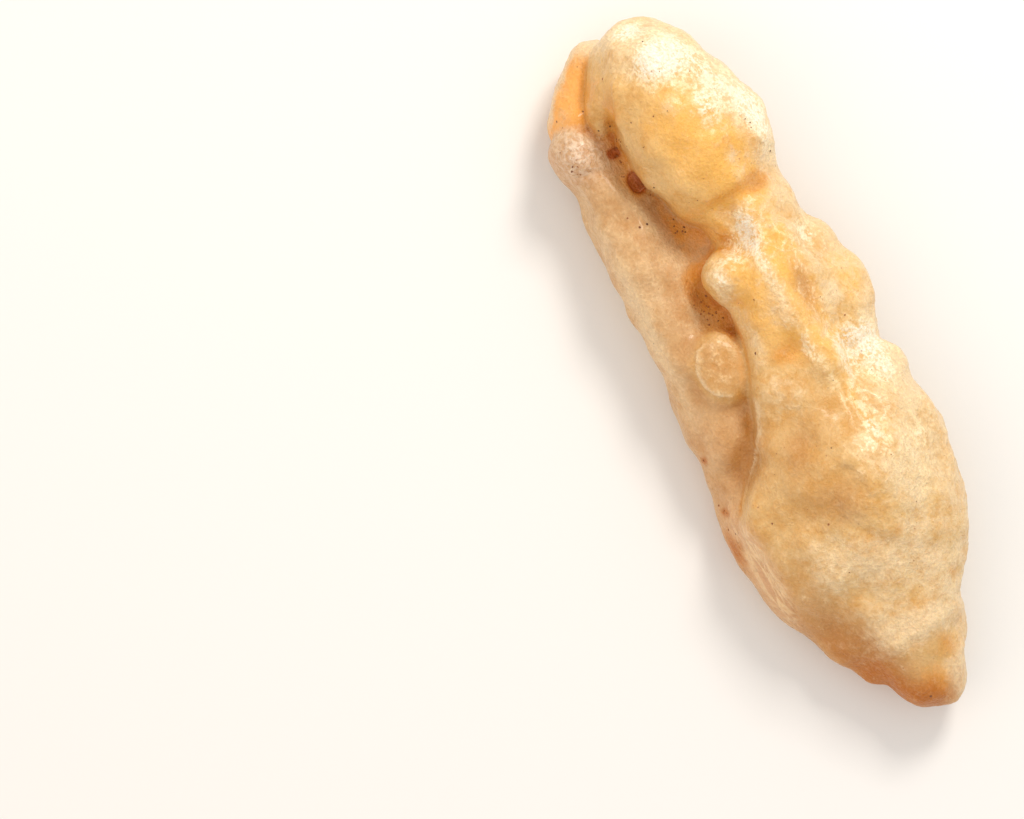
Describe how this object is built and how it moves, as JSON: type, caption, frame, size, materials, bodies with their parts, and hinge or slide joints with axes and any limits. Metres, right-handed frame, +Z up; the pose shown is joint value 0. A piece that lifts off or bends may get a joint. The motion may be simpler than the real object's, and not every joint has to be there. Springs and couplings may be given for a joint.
{
  "type": "fried salt cod fillet",
  "caption": "Long fillet of salt cod fried in puffed golden batter, lumpy crust over a paler strip of fish, lying flat on its underside.",
  "frame": {"origin": "centre of the fillet's outline seen from above, at the level of the flat spots it rests on", "axes": "+X from the blunt head end to the narrow toe end, +Z up through the shown side, +Y across the fillet towards the side without the pale strip"},
  "size_m": [0.1496, 0.0488, 0.0309],
  "materials": {
    "batter_crust": "golden fried batter, satin with a thin film of oil"
  },
  "bodies": {
    "root": {"fried_fillet": "batter_crust"}
  },
  "joints": []
}
